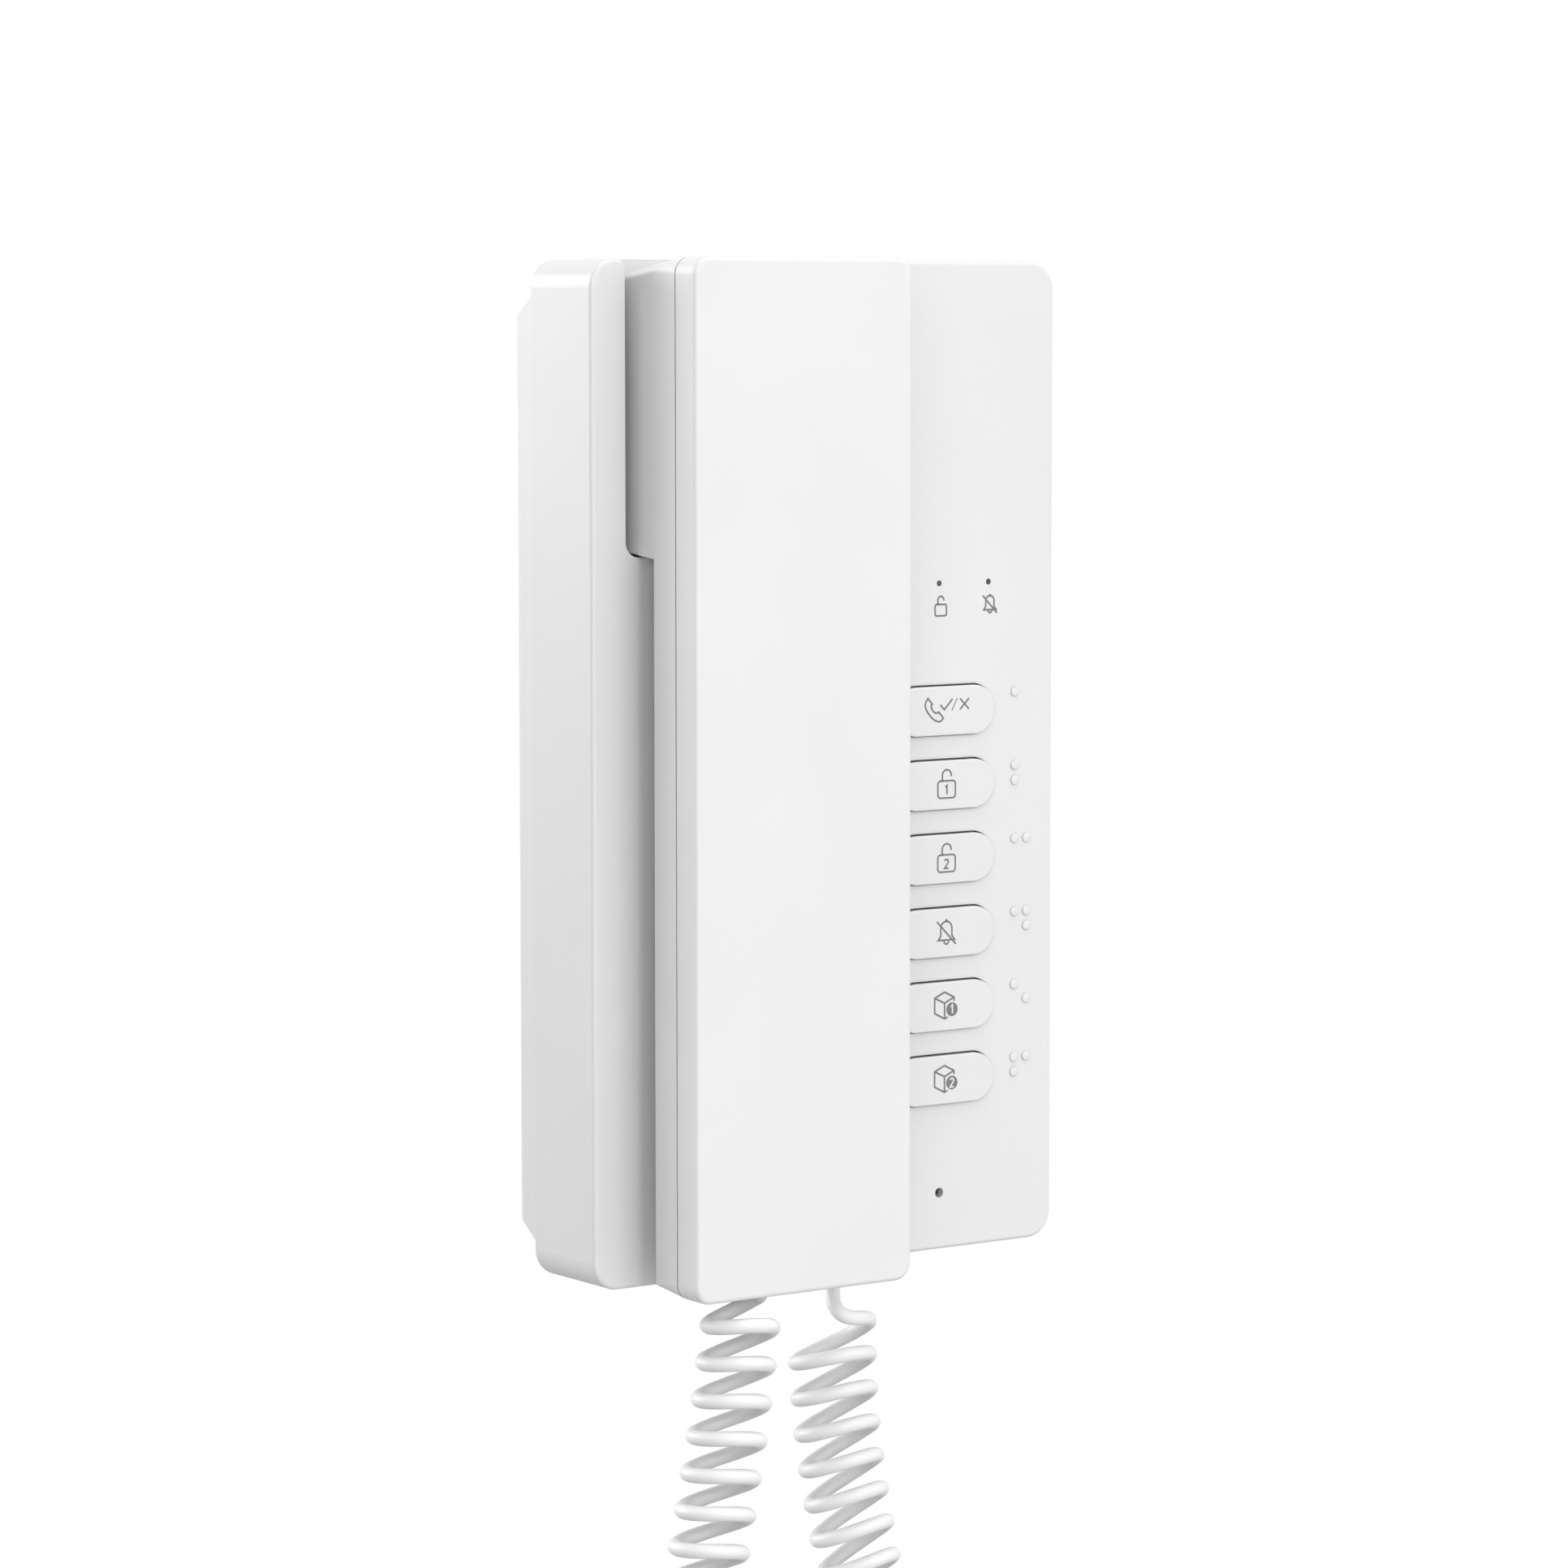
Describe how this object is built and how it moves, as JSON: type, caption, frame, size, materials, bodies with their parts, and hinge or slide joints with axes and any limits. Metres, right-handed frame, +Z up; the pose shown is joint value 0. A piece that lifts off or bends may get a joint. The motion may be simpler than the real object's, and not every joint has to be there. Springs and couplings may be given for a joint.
{
  "type": "wall-mounted audio handset station",
  "caption": "Slim white wall-mounted intercom handset station: handset in a cradle, a column of push buttons and a curly cord.",
  "frame": {"origin": "middle of the rectangle of four wall fixing holes, on the wall face of the wall plate", "axes": "+Y into the wall, the front faces -Y; +Z up along the handset; +X to the right seen from the front"},
  "size_m": [0.112, 0.0509, 0.3496],
  "materials": {
    "shell_white": "satin moulded ABS",
    "key_white": "satin moulded ABS",
    "cord_white": "satin PVC cord sheath",
    "grey_plastic": "satin acetal",
    "black_plastic": "satin",
    "circuit_board": "green solder mask on glass epoxy",
    "terminal_green": "satin",
    "clear_plastic": "clear polycarbonate",
    "black_rubber": "matt",
    "zinc_steel": "zinc plated",
    "capsule_metal": "satin"
  },
  "bodies": {
    "base": {"front_cover": "shell_white", "wall_plate": "shell_white", "cover_screw": "zinc_steel", "main_board": "circuit_board", "board_screws": "zinc_steel", "key_switches": "black_plastic", "status_leds": "clear_plastic", "light_pipes": "clear_plastic", "sounder": "black_plastic", "terminal_block": "terminal_green", "terminal_screws": "zinc_steel", "hook_spring": "zinc_steel", "hook_switch": "black_plastic", "base_jack": "black_plastic", "base_plug": "clear_plastic", "coil_cord": "cord_white"},
    "handset": {"handset_cover": "shell_white", "handset_shell": "shell_white", "handset_screws": "zinc_steel", "receiver": "black_plastic", "receiver_gasket": "black_rubber", "microphone": "capsule_metal", "microphone_boot": "black_rubber", "handset_jack": "black_plastic", "handset_leads": "black_rubber", "handset_plug": "clear_plastic"},
    "hook_plunger": {"hook_plunger": "grey_plastic"},
    "button_1": {"button_1": "key_white", "key_stem_1": "black_plastic"},
    "button_2": {"button_2": "key_white", "key_stem_2": "black_plastic"},
    "button_3": {"button_3": "key_white", "key_stem_3": "black_plastic"},
    "button_4": {"button_4": "key_white", "key_stem_4": "black_plastic"},
    "button_5": {"button_5": "key_white", "key_stem_5": "black_plastic"},
    "button_6": {"button_6": "key_white", "key_stem_6": "black_plastic"}
  },
  "joints": [
    {"name": "handset_lift", "type": "slide", "parent": "base", "child": "handset", "axis": [0, -0.7071, 0.7071], "range_m": [0, 0.06]},
    {"name": "plunger_slide", "type": "slide", "parent": "base", "child": "hook_plunger", "axis": [0, -1, 0], "range_m": [0, 0.0025]},
    {"name": "button_1_press", "type": "slide", "parent": "base", "child": "button_1", "axis": [0, 1, 0], "range_m": [0, 0.0008], "stiffness_N_per_m": 400, "springref_m": -0.001},
    {"name": "button_2_press", "type": "slide", "parent": "base", "child": "button_2", "axis": [0, 1, 0], "range_m": [0, 0.0008], "stiffness_N_per_m": 400, "springref_m": -0.001},
    {"name": "button_3_press", "type": "slide", "parent": "base", "child": "button_3", "axis": [0, 1, 0], "range_m": [0, 0.0008], "stiffness_N_per_m": 400, "springref_m": -0.001},
    {"name": "button_4_press", "type": "slide", "parent": "base", "child": "button_4", "axis": [0, 1, 0], "range_m": [0, 0.0008], "stiffness_N_per_m": 400, "springref_m": -0.001},
    {"name": "button_5_press", "type": "slide", "parent": "base", "child": "button_5", "axis": [0, 1, 0], "range_m": [0, 0.0008], "stiffness_N_per_m": 400, "springref_m": -0.001},
    {"name": "button_6_press", "type": "slide", "parent": "base", "child": "button_6", "axis": [0, 1, 0], "range_m": [0, 0.0008], "stiffness_N_per_m": 400, "springref_m": -0.001}
  ],
  "couplings": [
    {"joint": "plunger_slide", "follows": "handset_lift", "ratio": 0.041666}
  ]
}
